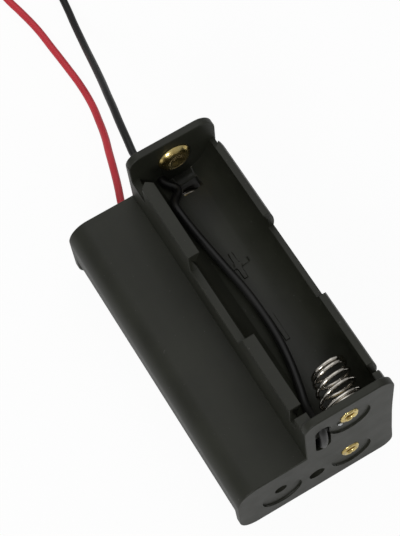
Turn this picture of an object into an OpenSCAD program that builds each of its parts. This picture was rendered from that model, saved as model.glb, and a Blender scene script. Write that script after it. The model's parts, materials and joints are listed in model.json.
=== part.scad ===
// Moulded holder for three AA cells: two side by side and one on top of the right-hand one.
// Length lies along Y with the leads at +Y, width along X, and the end plates stand on z = 0.
// The lower bays open down and the upper bay opens up. All lengths are in millimetres.

/* [Cells] */
// Diameter of one cell
cell_d = 14.5; // [14:0.1:15]
// Length of one cell over its terminals
cell_len = 50.5; // [48:0.5:54]
// Radial room round a cell in its bay
cell_room = 0.1; // [0.05:0.05:0.3]
// Height of the lower cells above the surface
cell_lift = 0.75; // [0.5:0.05:1.5]

/* [Body] */
// Least web between the two lower bays
bay_web = 0.2; // [0.2:0.1:1]
// Wall outside a lower bay
side_wall = 0.9; // [0.8:0.1:1.4]
// Wall on each side of the upper bay, at the plates
column_wall = 1.4; // [1.2:0.1:2]
// Outer wall of the upper bay where it follows the cell
lip_wall = 1.1; // [0.9:0.1:1.2]
// Deck over the lower bay that has nothing on top
deck_t = 0.85; // [0.7:0.05:1.5]
// Floor between the upper bay and the bay under it
floor_t = 1.8; // [1.5:0.1:3]
// Height of the central rib's foot above the lower cells' axes
rib_rise = 2.5; // [1.5:0.1:4]
// Width of the window in the upper bay's floor near the far plate
window_w = 3.8; // [3:0.1:5]
// Length of that window along the bay
window_len = 2.2; // [1:0.1:3]

/* [Clips] */
// How far a clip reaches past its cell's axis
clip_rise = 3.7; // [2.5:0.1:4.2]
// How far the upper bay's wall between two clips stops short of the axis
relief_drop = 1.5; // [0.5:0.1:2.5]
// How far the lower bays' walls between the clips reach past the axis
relief_reach = 0.8; // [0.3:0.1:1.5]
// Length of each clip
clip_len = 17; // [12:0.5:19]
// Gap between a far clip and the end plate beside it
clip_gap = 3.5; // [3:0.1:4.5]
// Width of the slit that frees a near clip
slit_w = 1.6; // [1:0.1:2]
// How far the upper bay's gaps and slits reach past the axis to its floor
slit_drop = 1.2; // [0.5:0.1:2.5]
// Length of the ramp that leads up to a near clip
ramp_len = 2; // [1:0.5:4]
// Length of the point at the far end of each upper clip
clip_point = 1; // [0.5:0.1:1.5]

/* [End plates] */
// Thickness of an end plate
plate_t = 1.5; // [1.2:0.1:2.2]
// Height of the plates over the upper cell's axis
plate_over = 5.5; // [4.8:0.1:7]
// Radius of the plates' foot on the deck side
foot_r = 3.5; // [1:0.1:5]
// Radius of the plates' foot on the column side
heel_r = 2.4; // [1:0.1:5]
// Radius of the shoulder beside the deck
shoulder_r = 4.3; // [1:0.1:6]
// Radius of the column's inner top corner
crown_r = 2.5; // [1:0.1:4]
// Radius of the column's outer top corner
brow_r = 3.3; // [1:0.1:4]
// Depth of the waist in the plates' outer edge
waist = 0.25; // [0.1:0.05:0.5]
// Diameter of the recess round each contact in the near plate's outer face
recess_d = 8; // [7:0.1:9]
// Depth of those recesses
recess_t = 0.4; // [0.2:0.05:0.6]
// How far the recesses' middles lie below the contacts
recess_drop = 1.2; // [0:0.1:2]
// Diameter of the mounting hole in the near plate
mount_d = 3.1; // [2:0.1:3.6]
// Height of the mounting hole
mount_z = 6.4; // [5.5:0.1:6.8]
// Diameter of the hole behind the left spring
spare_d = 2.4; // [1.5:0.1:3]

/* [Contacts] */
// How far in from the lower cells' axes their contacts sit
contact_in = 0.4; // [0:0.1:0.8]
// Outer diameter of a spring at the plate
spring_d = 8.4; // [7:0.1:9]
// Outer diameter of a spring at its free end
spring_tip_d = 6.8; // [5:0.1:8.4]
// Wire of the springs
spring_wire = 0.7; // [0.5:0.05:0.9]
// Length of a spring with no cell in the bay
spring_free = 8.2; // [7:0.1:10]
// Length left to a spring by a fitted cell
spring_fitted = 5.3; // [4.8:0.1:6]
// Turns of a spring that aren't closed up
spring_turns = 3.2; // [2.2:1:4.2]
// How much wider than their mean the first of those turns stands open, as a share
spring_spread = 0.2; // [0:0.05:0.4]
// How far the upper spring's free end has settled sideways
spring_lean = 1.6; // [0:0.1:2]
// Diameter of a button contact
button_d = 6.4; // [5.4:0.1:7.5]
// Height of a button contact
button_h = 1.2; // [1:0.1:2]
// Depth of the dimple in a button contact
dimple = 0.45; // [0.2:0.05:0.5]
// Sheet that the contacts are made from
sheet_t = 0.3; // [0.2:0.05:0.4]
// Shank of a rivet or button
shank_d = 2.4; // [1.8:0.1:2.8]
// Diameter of its rolled head
head_d = 3.6; // [3.2:0.1:4.5]
// Diameter of a rivet's flange over the end of a spring
flange_d = 5.2; // [4.4:0.1:5.8]
// Radial room of a shank in its hole
shank_room = 0.05; // [0.02:0.01:0.1]
// How far a strip reaches past what sits on it
strip_rim = 0.4; // [0.2:0.1:0.5]
// Width of the outside strip between two contacts
strip_w = 4; // [3:0.1:5]
// Width of the inside strip's neck above the mounting hole
neck_w = 2; // [1.2:0.1:2.2]

/* [Leads] */
// Diameter of the leads over their insulation
lead_d = 1.5; // [1.2:0.1:1.6]
// Diameter of the tinned strands
strand_d = 0.7; // [0.5:0.1:0.9]
// Length of bare strands from the middle of the left button's head
strand_out = 1.5; // [1:0.1:3]
// Free length of each lead past the far plate
lead_len = 150; // [120:5:170]
// Room between a lead and what it passes or lies on
lead_room = 0.1; // [0.05:0.05:0.2]
// Distance of the black lead's slot in from the column's side
slot_in = 3.4; // [2.6:0.1:4]
// Height of that slot's foot over the deck
slot_rise = 0.7; // [0.4:0.1:1.5]
// Height of that slot's head over the upper cell's axis
slot_over = 1.9; // [1:0.1:2.4]
// Width of the slot that the black lead loops through
slot_w = 3; // [2.4:0.1:3.4]
// Bar across that slot, along the slot
bar_h = 2.2; // [1.5:0.1:3]
// Thickness of that bar
bar_t = 0.6; // [0.4:0.1:0.8]
// Thickness of the band round each coil of spare lead
tie_t = 0.25; // [0.1:0.05:0.25]
// Width of that band
tie_w = 2.5; // [1.5:0.1:4]

/* [Marks] */
// Length of the polarity marks along the bay
mark_len = 5.6; // [3:0.1:8]
// Length of a plus mark's other bar
mark_cross = 4.4; // [3:0.1:6]
// Width of a polarity mark's bars
mark_w = 0.9; // [0.5:0.1:1.5]
// Height of the marks over the bay's floor
mark_h = 0.25; // [0.15:0.05:0.4]
// Distance of the marks from the middle of the bay
mark_y = 7; // [5:0.5:10]

/* [Hidden] */
$fn = 64;
eps = 0.01;
seat = 0.03;
plastic = [0.17, 0.17, 0.16];
brass = [0.80, 0.66, 0.30];
nickel = [0.78, 0.78, 0.76];
black = [0.10, 0.10, 0.10];
red = [0.78, 0.12, 0.14];
white = [0.90, 0.90, 0.88];

// Bays
bay_r = cell_d / 2 + cell_room;
low_z = cell_lift + cell_d / 2;
low_x = bay_r + bay_web / 2;
half_w = low_x + bay_r + side_wall;
column_w = 2 * (bay_r + column_wall);
column_x = half_w - column_w;
up_x = half_w - column_w / 2;
up_z = low_z + 2 * bay_r + floor_t;
deck_z = low_z + bay_r + deck_t;
up_r = bay_r + lip_wall;
side_r = bay_r + side_wall;

// Length
inner_len = cell_len + spring_fitted + button_h;
near_y = -inner_len / 2;
far_y = inner_len / 2;
half_l = inner_len / 2 + plate_t;
clip_y = inner_len / 2 - clip_gap;
relief_y = clip_y - clip_len;
clip_in = sqrt(bay_r * bay_r - clip_rise * clip_rise);

// Plates
plate_high = up_z + plate_over;

// Contacts
left_x = contact_in - low_x;
right_x = low_x - contact_in;
bore_r = shank_d / 2 - sheet_t;
hole_d = shank_d + 2 * shank_room;
roll_r = (head_d / 2 - bore_r) / 2;
wire_top = spring_wire + 2 * seat;

// Slot for the black lead, and the pocket behind it
slot_x = column_x + slot_in;
slot_low = deck_z + slot_rise;
slot_high = up_z + slot_over;
bar_z = (slot_low + slot_high) / 2;
loop_r = plate_t;
loop_z = (slot_high - slot_low) / 2 - lead_d / 2 - 3 * lead_room - loop_r;
pocket_y = loop_r + lead_d / 2 + lead_room;

// Black lead inside the upper bay: it comes in through the far plate, lies along the bay's floor,
// loops out and in round the bar and ends beside the spring. A place on the floor is an angle round
// the bay from straight down and a share of the inner length.
lay_r = bay_r - mark_h - lead_room - lead_d / 2;
function on_floor(angle, share) =
    [up_x - lay_r * sin(angle), share * inner_len, up_z - lay_r * cos(angle)];
function on_loop(angle, side) =
    [slot_x, near_y + loop_r * cos(angle), bar_z + side * loop_z + loop_r * sin(angle)];
hole_x = on_floor(30, 0)[0];
hole_z = on_floor(30, 0)[2];
run_end = on_loop(350, -1) + [lead_d / 5, 0, lead_d / 2];
run_route = concat(
    [[hole_x, half_l, hole_z], [hole_x, far_y - plate_t / 3, hole_z]],
    [for (p = [[26, 0.475], [19, 0.463], [14.5, 0.449], [16.5, 0.435], [23, 0.4245], [31, 0.412],
               [36.5, 0.395], [38.5, 0.37], [37.5, 0.345], [35, 0.3], [30, 0.23], [22, 0.13],
               [15, 0.035], [12.5, -0.06], [13.5, -0.15], [20, -0.245], [32, -0.335], [44, -0.4]])
        on_floor(p[0], p[1])],
    [on_loop(0, 1) + [lead_d / 4, 2 * loop_r / 3, -lead_d * 0.9]],
    [for (a = [20:40:180]) on_loop(a, 1)],
    [for (a = [180:40:340]) on_loop(a, -1)],
    [run_end]);
spring_side = [up_x, near_y + spring_wire, up_z]
    - (spring_d / 2 + strand_d / 2 + lead_room) * [sin(45), 0, cos(45)];
tail_route = [run_end, (run_end + spring_side) / 2 - [0, strand_d / 4, 0], spring_side];

// Routes of the free leads, which start at the far plate
black_route = [[hole_x, half_l, hole_z], [3.6, 31.9, 19.05], [2.9, 34, 19], [2.3, 36.2, 18.9],
               [2.4, 38.6, 18.6], [2.85, 41.2, 18.05], [3.5, 44.6, 17], [4.35, 48.3, 15.5],
               [5.2, 52.2, 13.7], [6, 56, 11.8], [6.75, 59.9, 9.8], [7.5, 64, 7.6],
               [8.25, 68.3, 5.4], [9, 72.6, 3.6], [9.75, 77, 2.1], [10.45, 81, 1.3],
               [10.95, 85, 1.1], [11.25, 89.5, 1.1], [11.3, 94.5, 1.1]];
red_route = [[-5.73, 31.28, 8], [-4.92, 31.56, 8], [-4.21, 32.02, 8], [-3.63, 32.65, 8],
             [-3.21, 33.4, 8], [-2.65, 34.9, 8], [-1.8, 37.3, 7.6],
             [-0.5, 41.5, 6.7], [0.8, 46, 5.3], [2, 50, 3.9], [3, 54.5, 2.5], [3.8, 59, 1.5],
             [4.1, 64, 1.1], [3.9, 69, 1.1], [3.5, 75, 1.1], [3.1, 80.5, 1.1], [2.2, 86, 1.1],
             [1.4, 90, 1.1], [1, 94, 1.1], [1, 98, 1.1]];

// Each lead ends in a flat coil: a spiral that starts at coil_r and goes in by coil_step a turn
coil_r = 9;
coil_step = 1.6;
coil_z = 1.1;
tie_room = 0.05;
black_coil = [20.3, 94.5];
red_coil = [-8, 98];

function unit(v) = v / norm(v);
function route_len(p) = len(p) < 2 ? 0
    : norm(p[1] - p[0]) + route_len([for (i = [1:len(p) - 1]) p[i]]);

// Radius at which a coil ends when it holds a length of lead
function coil_end(length) = sqrt(coil_r * coil_r - coil_step * length / PI);

// Round wire or lead along points; no stretch of it may lie along side
module swept(p, d, side, sides = 8) {
    m = len(p) - 1;
    ring = [for (i = [0:m])
        let (t = unit(p[min(i + 1, m)] - p[max(i - 1, 0)]),
             u = unit(cross(t, side)),
             v = cross(t, u))
        for (k = [0:sides - 1])
            p[i] + (u * cos(360 * k / sides) + v * sin(360 * k / sides)) * d / 2];
    wall = [for (i = [0:m - 1], k = [0:sides - 1])
        let (a = i * sides + k, b = i * sides + (k + 1) % sides)
        [a, a + sides, b + sides, b]];
    first_cap = [for (k = [0:sides - 1]) k];
    last_cap = [for (k = [sides - 1:-1:0]) m * sides + k];
    polyhedron(ring, concat([first_cap], wall, [last_cap]));
}

// Outline in X and Z, drawn out along +Y from y
module along_y(y, length) {
    translate([0, y + length, 0])
        rotate([90, 0, 0])
            linear_extrude(length)
                children();
}

// Outline in Y and Z, drawn out along +X from x
module along_x(x, length) {
    translate([x, 0, 0])
        rotate([90, 0, 90])
            linear_extrude(length)
                children();
}

// Round bar along +Y from y
module rod_y(x, y, z, d, length) {
    translate([x, y, z])
        rotate([-90, 0, 0])
            cylinder(d = d, h = length);
}

// Profile of radius and height, turned about Y; it stands at y and points along dir
module turned_y(x, y, z, dir) {
    translate([x, y, z])
        rotate([-90 * dir, 0, 0])
            rotate_extrude()
                children();
}

// Places cuts that are drawn for a bay that opens up; with dir -1 the bay opens down
module at_bay(x, z, dir) {
    translate([x, 0, z])
        mirror([0, 0, dir > 0 ? 0 : 1])
            children();
}

// What a round corner of radius r takes off a square one
module corner(x, z, sx, sz, r) {
    difference() {
        translate([x + sx * (r - 1) / 2, z + sz * (r - 1) / 2])
            square(r + 1, center = true);
        translate([x + sx * r, z + sz * r])
            circle(r);
    }
}

// Outline of an end plate
module plate_outline() {
    half_z = plate_high / 2 - max(heel_r, brow_r);
    waist_r = (half_z * half_z + waist * waist) / (2 * waist);
    difference() {
        union() {
            translate([-half_w, 0])
                square([2 * half_w, deck_z]);
            translate([column_x, 0])
                square([column_w, plate_high]);
        }
        corner(-half_w, 0, 1, 1, foot_r);
        corner(half_w, 0, -1, 1, heel_r);
        corner(-half_w, deck_z, 1, -1, shoulder_r);
        corner(column_x, plate_high, 1, -1, crown_r);
        corner(half_w, plate_high, -1, -1, brow_r);
        translate([half_w - waist + waist_r, plate_high / 2])
            circle(waist_r, $fn = 720);
    }
}

// Outline of the body between the plates, before its bays are cut
module body_outline() {
    foot_z = low_z - clip_rise;
    top_z = up_z + clip_rise;
    difference() {
        union() {
            for (s = [-1, 1])
                translate([s * low_x, low_z])
                    circle(side_r);
            translate([-low_x, foot_z])
                square([2 * low_x, deck_z - foot_z]);
            difference() {
                translate([-half_w, low_z])
                    square([half_w, deck_z - low_z]);
                corner(-half_w, deck_z, 1, -1, shoulder_r);
            }
            translate([up_x, up_z])
                circle(up_r);
            translate([column_x, low_z])
                square([up_x - column_x, top_z - low_z]);
            translate([up_x, low_z])
                square([bay_r, up_z - low_z]);
        }
        translate([-2 * half_w, foot_z - plate_high])
            square([4 * half_w, plate_high]);
        translate([-2 * half_w, deck_z])
            square([2 * half_w + column_x, plate_high]);
        translate([column_x - 1, top_z])
            square([2 * half_w, plate_high]);
    }
}

// Frees the clips of one bay from each other, down to height relief, and from the plates, down to
// height slit over the axis, from x0 to x1
module clip_cuts(x0, x1, relief, slit) {
    over = clip_rise + 1;
    along_x(x0, x1 - x0) {
        polygon([[-relief_y, relief], [relief_y, relief], [relief_y, over],
                 [-relief_y - ramp_len, over], [-relief_y - ramp_len, clip_rise]]);
        translate([clip_y, slit])
            square([clip_gap, over - slit]);
        translate([-clip_y - slit_w, slit])
            square([slit_w, over - slit]);
    }
}

// Cuts the far end of an upper clip to a point between x0 and x1
module clip_end(x0, x1) {
    translate([0, clip_y, up_z - slit_drop])
        linear_extrude(slit_drop + clip_rise + 1)
            difference() {
                translate([x0 - 1, -clip_point])
                    square([x1 - x0 + 2, clip_point + eps]);
                polygon([[x0, -clip_point - eps], [(x0 + x1) / 2, 2 * eps], [x1, -clip_point - eps]]);
            }
}

// Polarity marks raised on a bay's floor, with the plus towards side plus of the bay
module marks(plus) {
    reach = mark_y + mark_len;
    intersection() {
        difference() {
            rod_y(0, -reach, 0, 2 * bay_r + floor_t / 4, 2 * reach);
            rod_y(0, -reach - 1, 0, 2 * (bay_r - mark_h), 2 * reach + 2);
        }
        translate([0, 0, -bay_r])
            linear_extrude(bay_r, center = true)
                for (s = [-1, 1])
                    translate([0, s * mark_y]) {
                        square([mark_w, mark_len], center = true);
                        if (s == plus)
                            square([mark_cross, mark_w], center = true);
                    }
    }
}

// Slot in the near plate for the black lead
module slot_outline() {
    for (z = [slot_low + slot_w / 2, slot_high - slot_w / 2])
        translate([slot_x, z])
            circle(d = slot_w);
    translate([slot_x - slot_w / 2, slot_low + slot_w / 2])
        square([slot_w, slot_high - slot_low - slot_w]);
}

module housing() {
    color(plastic)
    union() {
        difference() {
            union() {
                along_y(near_y - plate_t / 2, inner_len + plate_t)
                    body_outline();
                for (y = [-half_l, far_y])
                    along_y(y, plate_t)
                        plate_outline();
            }
            rod_y(up_x, near_y, up_z, 2 * bay_r, inner_len);
            for (s = [-1, 1])
                rod_y(s * low_x, near_y, low_z, 2 * bay_r, inner_len);
            translate([-low_x / 2, near_y, 0])
                cube([low_x, inner_len, low_z + rib_rise]);
            at_bay(0, up_z, 1)
                clip_cuts(column_x - 1, half_w + 1, -relief_drop, -slit_drop);
            at_bay(0, low_z, -1) {
                clip_cuts(-half_w - 1, -low_x, relief_reach, relief_reach);
                clip_cuts(low_x, half_w + 1, relief_reach, relief_reach);
            }
            clip_end(column_x, up_x - clip_in);
            clip_end(up_x + clip_in, half_w - waist);
            translate([up_x - window_w / 4, clip_y - 2 * window_len / 5, low_z])
                cube([window_w, window_len, up_z - low_z]);
            for (p = [[up_x, up_z], [left_x, low_z], [right_x, low_z]])
                rod_y(p[0], -half_l - 1, p[1] - recess_drop, recess_d, 1 + recess_t);
            for (p = [[up_x, up_z], [right_x, low_z]])
                rod_y(p[0], -half_l - 1, p[1], hole_d, 2 * half_l + 2);
            rod_y(left_x, -half_l - 1, low_z, spare_d, half_l);
            rod_y(left_x, 0, low_z, hole_d, half_l + 1);
            rod_y(0, -half_l - 1, mount_z, mount_d, plate_t + 2);
            rod_y(hole_x, far_y - 1, hole_z, lead_d + 2 * lead_room, plate_t + 2);
            along_y(-half_l - 1, plate_t + 1 - bar_t)
                slot_outline();
            along_y(near_y - bar_t - eps, bar_t + 2 * eps)
                difference() {
                    slot_outline();
                    translate([slot_x - slot_w, bar_z - bar_h / 2])
                        square([2 * slot_w, bar_h]);
                }
            translate([slot_x - slot_w / 2, near_y, slot_low])
                cube([slot_w, pocket_y, up_z - slot_low]);
        }
        at_bay(up_x, up_z, 1)
            marks(1);
        for (s = [-1, 1])
            at_bay(s * low_x, low_z, -1)
                marks(-s);
    }
}

// Spring that stands at y and points along dir; its inner end is curled round the shank
module coil_spring(x, y, z, dir, lean) {
    closed = spring_wire * 1.05;
    turns = spring_turns + 2;
    rise = (spring_free - spring_wire - 2 * closed) / spring_turns;
    pitch_r = (spring_d - spring_wire) / 2;
    tip_r = (spring_tip_d - spring_wire) / 2;
    grip_r = (shank_d + spring_wire) / 2 + seat;
    function open(t) = t + spring_spread * (t - t * t / spring_turns);
    function height(s) = closed * (min(s, 1) + max(s - 1 - spring_turns, 0))
        + rise * open(max(min(s - 1, spring_turns), 0));
    curl = [for (i = [0:7])
        let (a = 90 + 22.5 * (i - 8), r = grip_r + (pitch_r - grip_r) * i / 8)
        [r * cos(a), 0, r * sin(a)]];
    coil = [for (i = [0:floor(turns * 16)])
        let (s = i / 16, a = 90 + 360 * s, h = height(s), r = pitch_r + (tip_r - pitch_r) * s / turns)
        [r * cos(a) + lean * h / spring_free, dir * h, r * sin(a)]];
    color(nickel)
    translate([x, y + dir * (spring_wire / 2 + seat), z])
        swept(concat(curl, coil), spring_wire, [0, 1, 0]);
}

module top_spring() {
    coil_spring(up_x, near_y, up_z, 1, spring_lean);
}

module right_spring() {
    coil_spring(right_x, far_y, low_z, -1, 0);
}

module left_spring() {
    coil_spring(left_x, near_y + sheet_t, low_z, 1, 0);
}

// Hollow shank from height top down through reach, rolled over into a head behind it
module shank_profile(top, reach) {
    translate([bore_r, -reach - eps])
        square([sheet_t, top + reach + eps]);
    intersection() {
        translate([bore_r + roll_r, -reach])
            circle(roll_r);
        translate([0, -reach - head_d])
            square([head_d, head_d]);
    }
}

// Stamped button with a dimple, in one with its shank
module button_profile(reach) {
    rim = button_d / 2;
    floor_h = button_h - dimple;
    polygon([[rim, 0], [rim, sheet_t], [rim - 0.4, sheet_t], [rim - 0.6, button_h - 0.3],
             [rim - 0.7, button_h - 0.1], [rim - 0.9, button_h], [bore_r + 0.7, button_h],
             [bore_r + 0.3, button_h - 0.1], [bore_r, floor_h], [0, floor_h],
             [0, floor_h - sheet_t], [bore_r + sheet_t, floor_h - sheet_t],
             [bore_r + sheet_t, button_h - sheet_t - 0.1],
             [rim - 0.9, button_h - sheet_t - 0.1], [rim - 0.4 - sheet_t, 0]]);
    shank_profile(floor_h - sheet_t + eps, reach);
}

module top_button() {
    color(brass)
    turned_y(up_x, far_y, up_z, -1)
        button_profile(plate_t + sheet_t);
}

module left_button() {
    color(brass)
    turned_y(left_x, far_y, low_z, -1)
        button_profile(plate_t);
}

module right_button() {
    color(brass)
    turned_y(right_x, near_y + sheet_t, low_z, 1)
        button_profile(sheet_t + plate_t - recess_t);
}

// Rivet over the curled end of a spring
module rivet_profile(reach) {
    translate([bore_r, wire_top])
        square([flange_d / 2 - bore_r, sheet_t]);
    shank_profile(wire_top + sheet_t, reach);
}

module top_rivet() {
    color(brass)
    turned_y(up_x, near_y, up_z, 1)
        rivet_profile(plate_t - recess_t);
}

module right_rivet() {
    color(brass)
    turned_y(right_x, far_y, low_z, -1)
        rivet_profile(plate_t + sheet_t);
}

// Strip inside the near plate, from the right button to a stub that holds the left spring
module near_strip() {
    color(nickel)
    union() {
        along_y(near_y, sheet_t)
            difference() {
                union() {
                    translate([left_x, low_z])
                        circle(spring_d / 2 + strip_rim);
                    translate([right_x, low_z])
                        circle(button_d / 2 + strip_rim);
                    translate([left_x, mount_z + mount_d / 2 + strip_rim / 2])
                        square([right_x - left_x, neck_w]);
                }
                translate([left_x, low_z])
                    circle(bore_r);
                translate([right_x, low_z])
                    circle(d = hole_d);
            }
        turned_y(left_x, near_y, low_z, 1) {
            translate([bore_r, 0])
                square([sheet_t, sheet_t + wire_top]);
            translate([bore_r, sheet_t + wire_top])
                square([flange_d / 2 - bore_r, sheet_t]);
        }
    }
}

// Strip outside the far plate, from the upper button to the right spring's rivet
module far_strip() {
    color(nickel)
    along_y(half_l, sheet_t)
        difference() {
            union() {
                for (p = [[up_x, up_z], [right_x, low_z]])
                    translate(p)
                        circle(head_d / 2 + strip_rim);
                translate([(up_x + right_x - strip_w) / 2, low_z])
                    square([strip_w, up_z - low_z]);
            }
            for (p = [[up_x, up_z], [right_x, low_z]])
                translate(p)
                    circle(d = hole_d);
        }
}

// Solder over the left button's head, and the red lead's tinned strands
module lead_joint() {
    dome_h = 1.1;
    foot = head_d / 2 - 0.2;
    dome_r = (foot * foot + dome_h * dome_h) / (2 * dome_h);
    color(nickel)
    union() {
        turned_y(left_x, half_l + roll_r, low_z, 1)
            intersection() {
                translate([0, dome_h - dome_r])
                    circle(dome_r);
                square(2 * dome_r);
            }
        translate([left_x, half_l + roll_r + dome_h / 2, low_z])
            rotate([0, 90, 12])
                cylinder(d = strand_d, h = strand_out);
    }
}

module black_lead_run() {
    color(black)
    swept(run_route, lead_d, [1, 0, 0]);
}

module black_lead_tail() {
    color(nickel)
    swept(tail_route, strand_d, [0, 0, 1]);
}

module black_lead() {
    color(black)
    swept(black_route, lead_d, [0, 0, 1]);
}

module red_lead() {
    color(red)
    swept(red_route, lead_d, [0, 0, 1]);
}

// Outer shape of the coil that takes up a lead past the end of its route, with a margin round it
module coil_section(route, margin) {
    end_r = coil_end(lead_len - route_len(route));
    translate([end_r - lead_d / 2 - margin, coil_z - lead_d / 2 - margin])
        square([coil_r - end_r + lead_d + 2 * margin, lead_d + 2 * margin]);
}

module lead_coil(at, route) {
    translate(at)
        rotate_extrude()
            coil_section(route, 0);
}

// Band round a coil's turns, at an angle about the coil
module coil_tie(at, route, angle) {
    span = tie_w / coil_r * 180 / PI;
    color(white)
    translate(at)
        rotate([0, 0, angle - span / 2])
            rotate_extrude(angle = span)
                difference() {
                    coil_section(route, tie_room + tie_t);
                    coil_section(route, tie_room);
                }
}

module black_lead_coil() {
    color(black)
    lead_coil(black_coil, black_route);
}

module black_lead_tie() {
    coil_tie(black_coil, black_route, 60);
}

module red_lead_coil() {
    color(red)
    lead_coil(red_coil, red_route);
}

module red_lead_tie() {
    coil_tie(red_coil, red_route, 120);
}

housing();
top_spring();
right_spring();
left_spring();
top_button();
right_button();
left_button();
top_rivet();
right_rivet();
near_strip();
far_strip();
lead_joint();
black_lead_run();
black_lead_tail();
black_lead();
black_lead_coil();
black_lead_tie();
red_lead();
red_lead_coil();
red_lead_tie();
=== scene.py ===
import json
import math
import bmesh
import bpy
from mathutils import Matrix, Vector, noise


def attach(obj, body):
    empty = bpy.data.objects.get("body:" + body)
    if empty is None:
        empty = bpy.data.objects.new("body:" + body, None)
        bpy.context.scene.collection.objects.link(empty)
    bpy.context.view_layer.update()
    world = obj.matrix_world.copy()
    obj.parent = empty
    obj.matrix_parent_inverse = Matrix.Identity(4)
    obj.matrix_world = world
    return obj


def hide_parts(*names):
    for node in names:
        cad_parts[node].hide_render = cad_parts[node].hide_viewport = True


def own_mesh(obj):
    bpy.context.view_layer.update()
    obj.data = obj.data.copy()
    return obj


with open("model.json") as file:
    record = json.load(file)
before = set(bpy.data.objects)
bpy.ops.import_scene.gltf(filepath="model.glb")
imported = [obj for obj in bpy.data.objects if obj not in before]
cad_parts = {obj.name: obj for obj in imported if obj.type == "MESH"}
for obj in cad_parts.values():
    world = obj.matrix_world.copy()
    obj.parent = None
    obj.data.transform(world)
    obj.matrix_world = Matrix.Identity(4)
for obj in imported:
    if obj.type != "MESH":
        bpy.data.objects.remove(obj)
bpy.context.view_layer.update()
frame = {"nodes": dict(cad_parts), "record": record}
print("frame loaded")

mm = 0.001
bpy.context.scene.view_settings.view_transform = "Standard"

# places and thicknesses that the pieces share, from the CAD model, in millimetres
upperBay = (6.95, 24.5)  # x and z of the upper cell's axis
lowerLeftBay = (-7.05, 8)
lowerRightBay = (7.05, 8)
wallY = 28.5  # inner faces of the end plates
plateThickness = 1.5
sheetThickness = 0.3
recessDepth = 0.4


# ---- camera ----
cameraView = {
    "azimuth": 21.34,
    "elevation": 64.48,
    "roll": -10.19,
    "distance": 348.4 * mm,
    "aside": -5.65 * mm,
    "rise": 15.6 * mm,
    "lens": 170.9,
}


def makeCamera(view):
    azimuth = math.radians(view["azimuth"])
    elevation = math.radians(view["elevation"])
    roll = math.radians(view["roll"])
    back = Vector((
        -math.sin(azimuth) * math.cos(elevation),
        -math.cos(azimuth) * math.cos(elevation),
        math.sin(elevation),
    ))
    level = Vector((math.cos(azimuth), -math.sin(azimuth), 0))
    upright = back.cross(level)
    right = level * math.cos(roll) + upright * math.sin(roll)
    up = upright * math.cos(roll) - level * math.sin(roll)
    data = bpy.data.cameras.new("camera")
    data.sensor_width = 36
    data.sensor_fit = "HORIZONTAL"
    data.lens = view["lens"]
    data.clip_start = 0.01
    data.clip_end = 20
    camera = bpy.data.objects.new("camera", data)
    turn = Matrix((right, up, back)).transposed().to_4x4()
    spot = back * view["distance"] + right * view["aside"] + up * view["rise"]
    camera.matrix_world = Matrix.Translation(spot) @ turn
    bpy.context.scene.collection.objects.link(camera)
    bpy.context.scene.camera = camera


makeCamera(cameraView)
print("camera set")


# ---- materials ----
def newMaterial(name):
    material = bpy.data.materials.new(name)
    material.use_nodes = True
    nodes = material.node_tree.nodes
    return material, nodes, material.node_tree.links, nodes["Principled BSDF"]


def addNoise(nodes, links, coords, scale, detail=4, roughness=0.5, stretch=None):
    texture = nodes.new("ShaderNodeTexNoise")
    texture.inputs["Scale"].default_value = scale
    texture.inputs["Detail"].default_value = detail
    texture.inputs["Roughness"].default_value = roughness
    if stretch:
        mapping = nodes.new("ShaderNodeMapping")
        mapping.inputs["Scale"].default_value = stretch
        links.new(coords, mapping.inputs["Vector"])
        coords = mapping.outputs["Vector"]
    links.new(coords, texture.inputs["Vector"])
    return texture


def addRange(nodes, links, value, low, high, fromLow=0.3, fromHigh=0.7):
    spread = nodes.new("ShaderNodeMapRange")
    spread.inputs["From Min"].default_value = fromLow
    spread.inputs["From Max"].default_value = fromHigh
    spread.inputs["To Min"].default_value = low
    spread.inputs["To Max"].default_value = high
    links.new(value, spread.inputs["Value"])
    return spread.outputs["Result"]


def addColours(nodes, links, value, first, second, start=0.35, stop=0.65):
    ramp = nodes.new("ShaderNodeValToRGB")
    ramp.color_ramp.elements[0].position = start
    ramp.color_ramp.elements[0].color = (*first, 1)
    ramp.color_ramp.elements[1].position = stop
    ramp.color_ramp.elements[1].color = (*second, 1)
    links.new(value, ramp.inputs["Fac"])
    return ramp.outputs["Color"]


def addBump(nodes, links, height, distance, strength, below=None):
    bump = nodes.new("ShaderNodeBump")
    bump.inputs["Distance"].default_value = distance
    bump.inputs["Strength"].default_value = strength
    links.new(height, bump.inputs["Height"])
    if below:
        links.new(below, bump.inputs["Normal"])
    return bump.outputs["Normal"]


mouldedPlastic = {
    "dark": (0.0165, 0.0174, 0.0120),
    "light": (0.0230, 0.0242, 0.0170),
    "dust": (0.060, 0.060, 0.054),
    "roughness": (0.40, 0.54),
    "specular": 0.33,
    "grain": 2600,
    "patches": 90,
    "specks": 1900,
}


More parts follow.
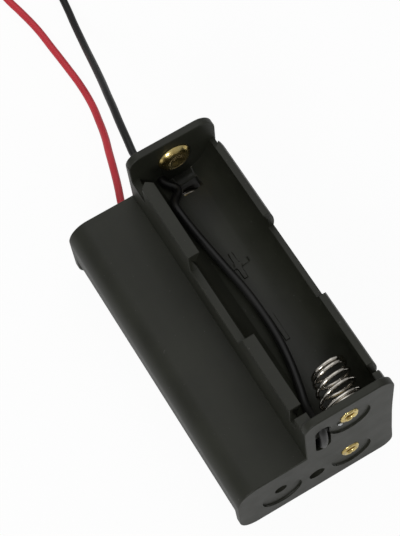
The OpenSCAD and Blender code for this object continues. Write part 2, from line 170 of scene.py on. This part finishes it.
def makePlastic(look):
    material, nodes, links, shader = newMaterial("moulded plastic")
    coords = nodes.new("ShaderNodeTexCoord").outputs["Object"]
    patches = addNoise(nodes, links, coords, look["patches"], 5, 0.6)
    flow = addNoise(nodes, links, coords, 260, 3, 0.5, stretch=(1, 0.12, 1))
    grain = addNoise(nodes, links, coords, look["grain"], 3, 0.6)
    specks = addNoise(nodes, links, coords, look["specks"], 2, 0.4)
    body = addColours(nodes, links, patches.outputs["Fac"], look["dark"], look["light"])
    dusty = nodes.new("ShaderNodeMix")
    dusty.data_type = "RGBA"
    links.new(addRange(nodes, links, specks.outputs["Fac"], 0, 0.8, 0.745, 0.79), dusty.inputs["Factor"])
    links.new(body, dusty.inputs["A"])
    dusty.inputs["B"].default_value = (*look["dust"], 1)
    links.new(dusty.outputs["Result"], shader.inputs["Base Color"])
    mixed = nodes.new("ShaderNodeMath")
    mixed.operation = "MULTIPLY_ADD"
    mixed.inputs[1].default_value = 0.5
    links.new(flow.outputs["Fac"], mixed.inputs[0])
    half = nodes.new("ShaderNodeMath")
    half.operation = "MULTIPLY"
    half.inputs[1].default_value = 0.5
    links.new(patches.outputs["Fac"], half.inputs[0])
    links.new(half.outputs["Value"], mixed.inputs[2])
    links.new(addRange(nodes, links, mixed.outputs["Value"], *look["roughness"]), shader.inputs["Roughness"])
    shader.inputs["Specular IOR Level"].default_value = look["specular"]
    wave = addBump(nodes, links, flow.outputs["Fac"], 0.02 * mm, 0.25)
    links.new(addBump(nodes, links, grain.outputs["Fac"], 0.012 * mm, 0.5, wave), shader.inputs["Normal"])
    return material


def makeMetal(name, look):
    material, nodes, links, shader = newMaterial(name)
    coords = nodes.new("ShaderNodeTexCoord").outputs["Object"]
    stain = addNoise(nodes, links, coords, look["stains"], 5, 0.65)
    scratch = addNoise(nodes, links, coords, look["scratches"], 4, 0.6, stretch=look["stretch"])
    links.new(
        addColours(nodes, links, stain.outputs["Fac"], look["dull"], look["bright"], 0.38, 0.6),
        shader.inputs["Base Color"],
    )
    links.new(addRange(nodes, links, scratch.outputs["Fac"], *look["roughness"]), shader.inputs["Roughness"])
    shader.inputs["Metallic"].default_value = 1
    links.new(
        addBump(nodes, links, scratch.outputs["Fac"], look["depth"], 0.4),
        shader.inputs["Normal"],
    )
    return material


springMetal = {
    "dull": (0.50, 0.47, 0.42),
    "bright": (0.82, 0.78, 0.71),
    "roughness": (0.10, 0.22),
    "stains": 420,
    "scratches": 1800,
    "stretch": (1, 3, 1),
    "depth": 0.01 * mm,
}
brassMetal = {
    "dull": (0.52, 0.38, 0.13),
    "bright": (0.74, 0.60, 0.26),
    "roughness": (0.20, 0.32),
    "stains": 420,
    "scratches": 2200,
    "stretch": (1, 1, 1),
    "depth": 0.002 * mm,
}
stripMetal = {
    "dull": (0.52, 0.51, 0.48),
    "bright": (0.76, 0.75, 0.72),
    "roughness": (0.22, 0.42),
    "stains": 300,
    "scratches": 900,
    "stretch": (0.15, 1, 4),
    "depth": 0.008 * mm,
}
tinMetal = {
    "dull": (0.42, 0.43, 0.44),
    "bright": (0.74, 0.75, 0.76),
    "roughness": (0.18, 0.45),
    "stains": 700,
    "scratches": 1500,
    "stretch": (1, 1, 1),
    "depth": 0.02 * mm,
}


def makeVinyl(name, look):
    material, nodes, links, shader = newMaterial(name)
    coords = nodes.new("ShaderNodeTexCoord").outputs["Object"]
    cloud = addNoise(nodes, links, coords, 140, 4, 0.55)
    grain = addNoise(nodes, links, coords, 3200, 2, 0.5)
    links.new(addColours(nodes, links, cloud.outputs["Fac"], look["dark"], look["light"]), shader.inputs["Base Color"])
    links.new(addRange(nodes, links, cloud.outputs["Fac"], *look["roughness"]), shader.inputs["Roughness"])
    shader.inputs["Specular IOR Level"].default_value = look["specular"]
    links.new(addBump(nodes, links, grain.outputs["Fac"], 0.01 * mm, 0.35), shader.inputs["Normal"])
    return material


redVinyl = {"dark": (0.56, 0.028, 0.042), "light": (0.68, 0.042, 0.060), "roughness": (0.36, 0.48), "specular": 0.4}
blackVinyl = {"dark": (0.007, 0.007, 0.007), "light": (0.011, 0.011, 0.010), "roughness": (0.34, 0.48), "specular": 0.33}
tieVinyl = {"dark": (0.70, 0.69, 0.66), "light": (0.80, 0.79, 0.76), "roughness": (0.30, 0.42), "specular": 0.5}

materials = {
    "plastic": makePlastic(mouldedPlastic),
    "spring": makeMetal("nickelled wire", springMetal),
    "brass": makeMetal("brass sheet", brassMetal),
    "strip": makeMetal("nickelled sheet", stripMetal),
    "tin": makeMetal("solder", tinMetal),
    "red": makeVinyl("red vinyl", redVinyl),
    "black": makeVinyl("black vinyl", blackVinyl),
    "tie": makeVinyl("white tie", tieVinyl),
}
print("materials made")


def finishPiece(name, form, material, replaced, body="holder", smooth=40):
    mesh = bpy.data.meshes.new(name)
    form.to_mesh(mesh)
    form.free()
    piece = bpy.data.objects.new(name, mesh)
    bpy.context.scene.collection.objects.link(piece)
    piece.data.materials.append(materials[material])
    mesh.shade_smooth()
    if smooth:
        mesh.set_sharp_from_angle(angle=math.radians(smooth))
    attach(piece, body)
    if replaced:
        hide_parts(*replaced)
    return piece

# ---- housing and strips, with their edges softened ----
softening = {
    "merge": 0.002 * mm,
    "flat": math.radians(1),
    "shortest": 0.9 * mm,
    "sharp": math.radians(40),
    "plateEdge": 0.24 * mm,
    "otherEdge": 0.13 * mm,
    "segments": 3,
}


def edgeChains(edges):
    left = set(edges)
    chains = []
    for first in edges:
        if first not in left:
            continue
        left.discard(first)
        chain, wave = [], [first]
        while wave:
            edge = wave.pop()
            chain.append(edge)
            for vert in edge.verts:
                for other in vert.link_edges:
                    if other in left:
                        left.discard(other)
                        wave.append(other)
        chains.append(chain)
    return chains


def spread(chain, axis):
    places = [vert.co[axis] for edge in chain for vert in edge.verts]
    return max(places) - min(places)


def bevelEdges(form, edges, width, segments):
    bmesh.ops.bevel(
        form, geom=edges, offset=width, offset_type="OFFSET", affect="EDGES",
        segments=segments, profile=0.5, clamp_overlap=False, material=-1,
    )


def isConvex(edge, least):
    return len(edge.link_faces) == 2 and edge.is_convex and edge.calc_face_angle(0) > least


def atY(edge, y):
    return all(abs(abs(vert.co.y) - y) < 0.01 * mm for vert in edge.verts)


def mergedCopy(name, soft):
    form = bmesh.new()
    form.from_mesh(frame["nodes"][name].data)
    bmesh.ops.remove_doubles(form, verts=form.verts, dist=soft["merge"])
    bmesh.ops.dissolve_limit(form, angle_limit=soft["flat"], verts=form.verts, edges=form.edges)
    return form


def softenHousing(soft):
    form = mergedCopy("housing", soft)
    outerY = (wallY + plateThickness) * mm
    rims = []
    for y, least in ((outerY, 25 * mm), (wallY * mm, 10 * mm)):
        sharp = [e for e in form.edges if atY(e, y) and isConvex(e, soft["sharp"])]
        for chain in edgeChains(sharp):
            if spread(chain, 0) + spread(chain, 2) > least:
                rims += chain
    bevelEdges(form, rims, soft["plateEdge"], soft["segments"])
    others = [
        e for e in form.edges
        if isConvex(e, soft["sharp"]) and e.calc_length() > soft["shortest"]
        and not atY(e, outerY)
    ]
    bevelEdges(form, others, soft["otherEdge"], 2)
    piece = finishPiece("moulded_housing", form, "plastic", ("housing",))
    even = piece.modifiers.new("even shading", "WEIGHTED_NORMAL")
    even.keep_sharp = True


def softenStrip(name, node, soft):
    form = mergedCopy(node, soft)
    edges = [e for e in form.edges if isConvex(e, soft["sharp"])]
    bevelEdges(form, edges, 0.05 * mm, 2)
    piece = finishPiece(name, form, "strip", (node,))
    even = piece.modifiers.new("even shading", "WEIGHTED_NORMAL")
    even.keep_sharp = True


softenHousing(softening)
softenStrip("inside_strip", "near_strip", softening)
softenStrip("outside_strip", "far_strip", softening)
print("housing and strips softened")


# ---- springs ----
springShape = {
    "wire": 0.7,
    "outer": 8.4,
    "tip": 6.8,
    "free": 8.2,
    "openTurns": 3.2,
    "spread": 0.2,
    "grip": 1.58,  # radius of the curl round the rivet's shank
    "sides": 12,
    "stepsPerTurn": 36,
    "keep": 0.645,  # share of its height left when a cell is in
}


def springHeight(turns, shape):
    closed = shape["wire"] * 1.05
    rise = (shape["free"] - shape["wire"] - 2 * closed) / shape["openTurns"]
    opened = max(min(turns - 1, shape["openTurns"]), 0)
    eased = opened + shape["spread"] * (opened - opened ** 2 / shape["openTurns"])
    return closed * (min(turns, 1) + max(turns - 1 - shape["openTurns"], 0)) + rise * eased


def makeSpring(name, node, bay, y, toward, lean, shape):
    form = bmesh.new()
    startR = shape["grip"]
    wideR = (shape["outer"] - shape["wire"]) / 2
    tipR = (shape["tip"] - shape["wire"]) / 2
    turns = shape["openTurns"] + 2
    steps = shape["stepsPerTurn"]
    ring = bmesh.ops.create_circle(form, segments=shape["sides"], radius=shape["wire"] / 2)["verts"]
    bmesh.ops.translate(form, vec=(startR, 0, 0), verts=ring)
    angle = math.radians(90 + toward * 180)
    bmesh.ops.rotate(form, matrix=Matrix.Rotation(-angle, 3, "Y"), verts=ring)
    radius, height = startR, 0
    for i in range(1, steps // 2 + round(turns * steps) + 1):
        along = max(i - steps // 2, 0) / steps
        newRadius = wideR + (tipR - wideR) * along / turns
        if not along:
            newRadius = startR + (wideR - startR) * i / (steps // 2)
        newHeight = springHeight(along, shape)
        edges = {e for v in ring for e in v.link_edges if all(w in ring for w in e.verts)}
        grown = bmesh.ops.extrude_edge_only(form, edges=list(edges))["geom"]
        ring = [g for g in grown if isinstance(g, bmesh.types.BMVert)]
        angle -= toward * 2 * math.pi / steps
        turn = Matrix.Rotation(toward * 2 * math.pi / steps, 3, "Y")
        bmesh.ops.rotate(form, matrix=turn, verts=ring)
        outward = Vector((math.cos(angle), 0, math.sin(angle)))
        lift = Vector((0, toward * (newHeight - height), 0))
        bmesh.ops.translate(form, vec=outward * (newRadius - radius) + lift, verts=ring)
        radius, height = newRadius, newHeight
    bmesh.ops.holes_fill(form, edges=[e for e in form.edges if e.is_boundary], sides=shape["sides"])
    bmesh.ops.recalc_face_normals(form, faces=form.faces)
    slant = Matrix.Identity(4)
    slant[0][1] = toward * lean / shape["free"]
    place = Vector((bay[0], y + toward * (shape["wire"] / 2 + 0.03), bay[1]))
    bmesh.ops.transform(form, matrix=slant, verts=form.verts)
    bmesh.ops.translate(form, vec=place, verts=form.verts)
    bmesh.ops.scale(form, vec=(mm, mm, mm), verts=form.verts)
    piece = finishPiece(name, form, "spring", (node,), smooth=50)
    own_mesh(piece)


makeSpring("upper_coil_spring", "top_spring", upperBay, -wallY, 1, 1.6, springShape)
makeSpring("lower_right_coil_spring", "right_spring", lowerRightBay, wallY, -1, 0, springShape)
makeSpring(
    "lower_left_coil_spring", "left_spring", lowerLeftBay,
    -wallY + sheetThickness, 1, 0, springShape,
)
print("springs made")


# ---- buttons and eyelets ----
brassShape = {
    "bore": 0.9,
    "shank": 1.2,
    "roll": 0.45,
    "flange": 2.6,
    "wireRoom": 0.76,
    "steps": 64,
    "dome": [
        (0, 0.76), (0.3, 0.77), (0.55, 0.81), (0.78, 0.89), (1.0, 0.99), (1.25, 1.1), (1.5, 1.17),
        (1.8, 1.2), (2.1, 1.18), (2.35, 1.12), (2.6, 0.99), (2.82, 0.79), (2.98, 0.58), (3.1, 0.4),
        (3.18, 0.24), (3.2, 0.1), (3.16, 0.02), (3.08, 0),
    ],
}


def shankOutline(reach, depth, shape):
    middle = shape["bore"] + shape["roll"]
    outline = [(shape["shank"], -reach + 0.05)]
    for degrees in range(0, 181, 20):
        turn = math.radians(degrees)
        outline.append((middle + shape["roll"] * math.cos(turn), -reach - shape["roll"] * math.sin(turn)))
    return outline + [(shape["bore"], depth), (0, depth)]


def spunPiece(outline, bay, y, toward, shape):
    form = bmesh.new()
    verts = [form.verts.new((radius, toward * height, 0)) for radius, height in outline]
    edges = [form.edges.new(pair) for pair in zip(verts, verts[1:])]
    bmesh.ops.spin(
        form, geom=verts + edges, cent=(0, 0, 0), axis=(0, 1, 0),
        angle=2 * math.pi, steps=shape["steps"], use_merge=True,
    )
    bmesh.ops.remove_doubles(form, verts=form.verts, dist=0.001)
    bmesh.ops.recalc_face_normals(form, faces=form.faces)
    bmesh.ops.translate(form, vec=(bay[0], y, bay[1]), verts=form.verts)
    bmesh.ops.scale(form, vec=(mm, mm, mm), verts=form.verts)
    return form


def crimpHead(form, bay, y, toward, folds, depth):
    # radial folds in the rolled head, as the press leaves them
    for vert in form.verts:
        x, z = vert.co.x / mm - bay[0], vert.co.z / mm - bay[1]
        away = math.hypot(x, z)
        below = (y - vert.co.y / mm) * toward
        if below > 0.5 and away > 0.92:
            turn = math.atan2(z, x)
            fold = max(math.cos(folds * turn + 0.6), 0) ** 3
            share = depth * fold * min((away - 0.9) / 0.4, 1)
            vert.co.y += toward * share * mm
            vert.co.x -= x / away * share * 0.6 * mm
            vert.co.z -= z / away * share * 0.6 * mm


def makeButton(name, node, bay, y, toward, reach, shape, folds=0):
    outline = shape["dome"] + shankOutline(reach, 0.3, shape)
    form = spunPiece(outline, bay, y, toward, shape)
    crimpHead(form, bay, y, toward, folds, 0.05)
    finishPiece(name, form, "brass", (node,), smooth=60)


def makeEyelet(name, node, bay, y, toward, reach, shape, folds=6, depth=0.1):
    low, high = shape["wireRoom"], shape["wireRoom"] + sheetThickness
    flange = shape["flange"]
    outline = [
        (shape["bore"], high - 0.12), (shape["bore"] + 0.06, high - 0.03), (shape["bore"] + 0.18, high),
        (flange - 0.1, high), (flange, high - 0.1), (flange, low + 0.08), (flange - 0.08, low),
        (shape["shank"] + 0.05, low),
    ]
    outline += shankOutline(reach, high - 0.12, shape)[:-1]
    form = spunPiece(outline, bay, y, toward, shape)
    crimpHead(form, bay, y, toward, folds, depth)
    finishPiece(name, form, "brass", (node,), smooth=60)


makeButton(
    "upper_button", "top_button", upperBay, wallY, -1, plateThickness + sheetThickness, brassShape, folds=5
)
makeButton("lower_left_button", "left_button", lowerLeftBay, wallY, -1, plateThickness, brassShape)
makeButton(
    "lower_right_button", "right_button", lowerRightBay, -wallY + sheetThickness, 1,
    plateThickness + sheetThickness - recessDepth, brassShape, folds=5,
)
makeEyelet("upper_eyelet", "top_rivet", upperBay, -wallY, 1, plateThickness - recessDepth, brassShape, 6, 0.16)
makeEyelet(
    "lower_right_eyelet", "right_rivet", lowerRightBay, wallY, -1, plateThickness + sheetThickness, brassShape
)
print("buttons and eyelets made")


# ---- solder ----
solderShape = {
    "foot": 1.6,
    "height": 1.1,
    "strand": 0.35,
    "strandLength": 1.5,
    "lumps": 0.06,
    "bead": (0.5, 0.24, 0.34),
    "beadPlace": (5.15, -29.72, 23.0),
}


def makeSolderJoint(shape):
    form = bmesh.new()
    dome = bmesh.ops.create_icosphere(form, subdivisions=4, radius=1)["verts"]
    bmesh.ops.scale(form, vec=(shape["foot"], shape["height"], shape["foot"]), verts=dome)
    cut = bmesh.ops.bisect_plane(
        form, geom=form.verts[:] + form.edges[:] + form.faces[:],
        plane_co=(0, 0, 0), plane_no=(0, 1, 0), clear_inner=True,
    )
    bmesh.ops.holes_fill(form, edges=[e for e in cut["geom_cut"] if isinstance(e, bmesh.types.BMEdge)])
    for vert in form.verts:
        if vert.co.y > 0.02:
            lump = shape["lumps"] * noise.noise(vert.co * 1.6)
            vert.co += vert.co.normalized() * lump
    strand = bmesh.ops.create_cone(
        form, cap_ends=True, segments=16, radius1=shape["strand"], radius2=shape["strand"],
        depth=shape["strandLength"],
    )["verts"]
    bmesh.ops.rotate(form, matrix=Matrix.Rotation(math.radians(90), 3, "Y"), verts=strand)
    bmesh.ops.translate(form, vec=(shape["strandLength"] / 2, 0, 0), verts=strand)
    bmesh.ops.rotate(form, matrix=Matrix.Rotation(math.radians(12), 3, "Z"), verts=strand)
    bmesh.ops.translate(form, vec=(0, shape["height"] / 2, 0), verts=strand)
    bmesh.ops.recalc_face_normals(form, faces=form.faces)
    place = (lowerLeftBay[0], wallY + plateThickness + brassShape["roll"], lowerLeftBay[1])
    bmesh.ops.translate(form, vec=place, verts=form.verts)
    bmesh.ops.scale(form, vec=(mm, mm, mm), verts=form.verts)
    finishPiece("solder_joint", form, "tin", ("lead_joint",), smooth=50)


def makeSolderBead(shape):
    form = bmesh.new()
    bmesh.ops.create_icosphere(form, subdivisions=4, radius=1)
    for vert in form.verts:
        vert.co *= 1 + 0.22 * noise.noise(vert.co * 1.7 + Vector((3, 1, 2)))
    bmesh.ops.scale(form, vec=shape["bead"], verts=form.verts)
    bmesh.ops.rotate(form, matrix=Matrix.Rotation(math.radians(40), 3, "Y"), verts=form.verts)
    bmesh.ops.translate(form, vec=shape["beadPlace"], verts=form.verts)
    bmesh.ops.scale(form, vec=(mm, mm, mm), verts=form.verts)
    finishPiece("eyelet_solder_bead", form, "tin", (), smooth=60)


makeSolderJoint(solderShape)
makeSolderBead(solderShape)
print("solder made")


# ---- leads ----
leadShape = {
    "diameter": 1.5 * mm,
    "length": 150 * mm,
    "coilRadius": 9,
    "coilStep": 1.6,
    "coilHeight": 1.1,
    "pointsPerTurn": 16,
    "bareLength": 5,
    "strandDiameter": 0.7 * mm,
}
blackRoute = [
    (3.825, 30, 19.087), (3.6, 31.4, 19.05), (2.9, 32.9, 19), (2.28, 34.3, 18.95),
    (2.16, 35.8, 18.88), (2.38, 37.5, 18.7), (2.67, 39.1, 18.5), (3.05, 41.3, 18),
    (3.66, 44.6, 17), (4.44, 48.3, 15.5),
    (5.2, 52.2, 13.7), (6, 56, 11.8), (6.75, 59.9, 9.8), (7.5, 64, 7.6),
    (8.25, 68.3, 5.4), (9, 72.6, 3.6), (9.75, 77, 2.1), (10.45, 81, 1.3),
    (10.95, 85, 1.1), (11.25, 89.5, 1.1), (11.3, 94.5, 1.1),
]
redRoute = [
    (-5.73, 31.28, 8), (-4.92, 31.56, 8), (-4.21, 32.02, 8), (-3.63, 32.65, 8),
    (-3.21, 33.4, 8), (-2.65, 34.9, 8), (-1.8, 37.3, 7.6), (-0.5, 41.5, 6.7),
    (0.8, 46, 5.3), (2, 50, 3.9), (3, 54.5, 2.5), (3.8, 59, 1.5),
    (4.1, 64, 1.1), (3.9, 69, 1.1), (3.5, 75, 1.1), (3.1, 80.5, 1.1), (2.2, 86, 1.1),
    (1.4, 90, 1.1), (1, 94, 1.1), (1, 98, 1.1),
]
blackCoilCentre = (20.3, 94.5)
redCoilCentre = (-8, 98)


def routeLength(route):
    return sum((Vector(b) - Vector(a)).length for a, b in zip(route, route[1:]))


def coilPoints(centre, turn, spare, shape, start=0):
    radius, step = shape["coilRadius"], shape["coilStep"]
    endRadius = math.sqrt(radius ** 2 - step * spare / math.pi)
    turns = (radius - endRadius) / step
    count = round(turns * shape["pointsPerTurn"])
    points = []
    for i in range(1, count + 1):
        share = i / count * turns
        angle = start + turn * 2 * math.pi * share
        r = radius - step * share
        points.append((centre[0] + r * math.cos(angle), centre[1] + r * math.sin(angle), shape["coilHeight"]))
    return points


def makeTube(name, points, diameter, material, replaced=(), resolution=8):
    curve = bpy.data.curves.new(name, "CURVE")
    curve.dimensions = "3D"
    curve.bevel_depth = diameter / 2
    curve.bevel_resolution = 5
    curve.resolution_u = resolution
    curve.use_fill_caps = True
    spline = curve.splines.new("BEZIER")
    spline.bezier_points.add(len(points) - 1)
    for spot, point in zip(spline.bezier_points, points):
        spot.co = Vector(point) * mm
        spot.handle_left_type = "AUTO"
        spot.handle_right_type = "AUTO"
    tube = bpy.data.objects.new(name, curve)
    bpy.context.scene.collection.objects.link(tube)
    curve.materials.append(materials[material])
    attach(tube, "holder")
    if replaced:
        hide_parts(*replaced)
    return tube


def bareTip(points, shape):
    end, before = Vector(points[-1]), Vector(points[-2])
    heading = (end - before).normalized()
    tip = [end - heading * 0.6]
    for i in range(5):
        heading = Matrix.Rotation(tipTurn(points) * math.radians(13), 3, "Z") @ heading
        tip.append(tip[-1] + heading * (shape["bareLength"] + 0.6) / 5)
    return tip


def tipTurn(points):
    a, b, c = (Vector(p) for p in points[-3:])
    return math.copysign(1, (b - a).cross(c - b).z)


def makeLead(name, route, centre, turn, start, material):
    spare = leadShape["length"] / mm - routeLength(route)
    points = route + coilPoints(centre, turn, spare, leadShape, start)
    lead = makeTube(name + "_cord", points, leadShape["diameter"], material, (name, name + "_coil"))
    tip = makeTube(name + "_bare_end", bareTip(points, leadShape), leadShape["strandDiameter"], "tin")


# the black lead's stretch in the upper bay: an angle from straight down and a share of the length
runShape = {
    "layRadius": 6.25,
    "floor": [
        (26, 0.475), (19, 0.463), (14.5, 0.449), (16.5, 0.435), (23, 0.4245), (31, 0.412),
        (36.5, 0.395), (38.5, 0.37), (37.5, 0.345), (35, 0.3), (30, 0.23), (22, 0.13),
        (15, 0.035), (12.5, -0.06), (13.5, -0.15), (20, -0.245), (32, -0.335), (44, -0.4),
    ],
    "slotX": 1.6,
    "barZ": 21.65,
    "loopRadius": 1.5,
    "loopRise": 2.2,
    "tailEnd": (3.66, -27.8, 21.21),
}


def onFloor(angle, share, shape):
    turn = math.radians(angle)
    reach = shape["layRadius"]
    return (upperBay[0] - reach * math.sin(turn), share * 2 * wallY, upperBay[1] - reach * math.cos(turn))


def onLoop(angle, side, shape):
    turn = math.radians(angle)
    radius = shape["loopRadius"]
    return (
        shape["slotX"],
        -wallY + radius * math.cos(turn),
        shape["barZ"] + side * shape["loopRise"] + radius * math.sin(turn),
    )


def makeRun(shape):
    hole = onFloor(30, 0, shape)
    points = [(hole[0], wallY + plateThickness, hole[2]), (hole[0], wallY - 0.5, hole[2])]
    points += [onFloor(angle, share, shape) for angle, share in shape["floor"]]
    loopStart = Vector(onLoop(0, 1, shape)) + Vector((0.375, 1.0, -1.35))
    points.append(tuple(loopStart))
    points += [onLoop(angle, 1, shape) for angle in range(20, 181, 40)]
    points += [onLoop(angle, -1, shape) for angle in range(180, 341, 40)]
    end = Vector(onLoop(350, -1, shape)) + Vector((0.3, 0, 0.75))
    points.append(tuple(end))
    makeTube("black_lead_inside", points, leadShape["diameter"], "black", ("black_lead_run",))
    tail = Vector(shape["tailEnd"])
    middle = (end + tail) / 2 - Vector((0, 0.175, 0))
    strand = [tuple(end), tuple(middle), tuple(tail)]
    makeTube("black_lead_strands", strand, leadShape["strandDiameter"], "tin", ("black_lead_tail",))


makeLead("black_lead", blackRoute, blackCoilCentre, -1, math.pi, "black")
makeLead("red_lead", redRoute, redCoilCentre, 1, 0, "red")
makeRun(runShape)
print("leads made")

slotMaterials = {
    "housing": "plastic",
    "spring_wire": "spring",
    "brass_contact": "brass",
    "plated_strip": "strip",
    "solder": "tin",
    "black_insulation": "black",
    "red_insulation": "red",
    "tie": "tie",
}
slotOfNode = {s["node"]: s["material_slot"] for s in frame["record"]["subparts"]}
for name, node in frame["nodes"].items():
    node.data.materials.clear()
    node.data.materials.append(materials[slotMaterials[slotOfNode[name]]])
    node.data.shade_smooth()
    node.data.set_sharp_from_angle(angle=math.radians(35))


# ---- surroundings ----
surroundings = {
    "floorColour": (0.94, 0.94, 0.94),
    "floorGlow": 0.95,
    "glossyGlow": 0.3,
    "skyLow": 0.25,
    "skyHigh": 0.45,
    "keyPlace": (-0.38, -0.42, 0.46),
    "keyPower": 1.6,
    "keySize": 0.2,
    "topPlace": (0.12, 0.30, 0.62),
    "topPower": 0.9,
    "topSize": 0.8,
}


def makeFloor(look):
    form = bmesh.new()
    bmesh.ops.create_grid(form, x_segments=1, y_segments=1, size=3)
    mesh = bpy.data.meshes.new("floor")
    form.to_mesh(mesh)
    form.free()
    floor = bpy.data.objects.new("floor", mesh)
    bpy.context.scene.collection.objects.link(floor)
    material, nodes, links, shader = newMaterial("floor")
    shader.inputs["Base Color"].default_value = (*look["floorColour"], 1)
    shader.inputs["Roughness"].default_value = 0.9
    shader.inputs["Specular IOR Level"].default_value = 0
    glow = nodes.new("ShaderNodeEmission")
    glow.inputs["Color"].default_value = (1, 1, 1, 1)
    glow.inputs["Strength"].default_value = 1
    paths = nodes.new("ShaderNodeLightPath")
    mirrored = nodes.new("ShaderNodeMath")
    mirrored.operation = "MULTIPLY"
    mirrored.inputs[1].default_value = look["glossyGlow"]
    links.new(paths.outputs["Is Glossy Ray"], mirrored.inputs[0])
    share = nodes.new("ShaderNodeMath")
    share.operation = "MULTIPLY_ADD"
    share.inputs[1].default_value = look["floorGlow"]
    links.new(paths.outputs["Is Camera Ray"], share.inputs[0])
    links.new(mirrored.outputs["Value"], share.inputs[2])
    mix = nodes.new("ShaderNodeMixShader")
    links.new(share.outputs["Value"], mix.inputs["Fac"])
    links.new(shader.outputs["BSDF"], mix.inputs[1])
    links.new(glow.outputs["Emission"], mix.inputs[2])
    links.new(mix.outputs["Shader"], nodes["Material Output"].inputs["Surface"])
    mesh.materials.append(material)


def makeSky(look):
    world = bpy.data.worlds.new("studio")
    bpy.context.scene.world = world
    world.use_nodes = True
    nodes, links = world.node_tree.nodes, world.node_tree.links
    background = nodes["Background"]
    coords = nodes.new("ShaderNodeTexCoord")
    split = nodes.new("ShaderNodeSeparateXYZ")
    links.new(coords.outputs["Generated"], split.inputs["Vector"])
    fade = nodes.new("ShaderNodeMapRange")
    fade.inputs["From Min"].default_value = 0.05
    fade.inputs["From Max"].default_value = 0.85
    fade.inputs["To Min"].default_value = look["skyLow"]
    fade.inputs["To Max"].default_value = look["skyHigh"]
    links.new(split.outputs["Z"], fade.inputs["Value"])
    paths = nodes.new("ShaderNodeLightPath")
    mix = nodes.new("ShaderNodeMix")
    mix.data_type = "FLOAT"
    links.new(paths.outputs["Is Camera Ray"], mix.inputs["Factor"])
    links.new(fade.outputs["Result"], mix.inputs["A"])
    mix.inputs["B"].default_value = 1
    background.inputs["Color"].default_value = (1, 1, 1, 1)
    links.new(mix.outputs["Result"], background.inputs["Strength"])


def makeLamp(name, spot, aim, size, power):
    data = bpy.data.lights.new(name, "AREA")
    data.shape = "DISK"
    data.size = size
    data.energy = power
    lamp = bpy.data.objects.new(name, data)
    bpy.context.scene.collection.objects.link(lamp)
    spot = Vector(spot)
    turn = (spot - Vector(aim)).to_track_quat("Z", "Y").to_matrix().to_4x4()
    lamp.matrix_world = Matrix.Translation(spot) @ turn


makeFloor(surroundings)
makeSky(surroundings)
for name in ("key", "top"):
    look = [surroundings[name + part] for part in ("Place", "Size", "Power")]
    makeLamp(name, look[0], (0, 0, 0.01), look[1], look[2])
print("surroundings made")
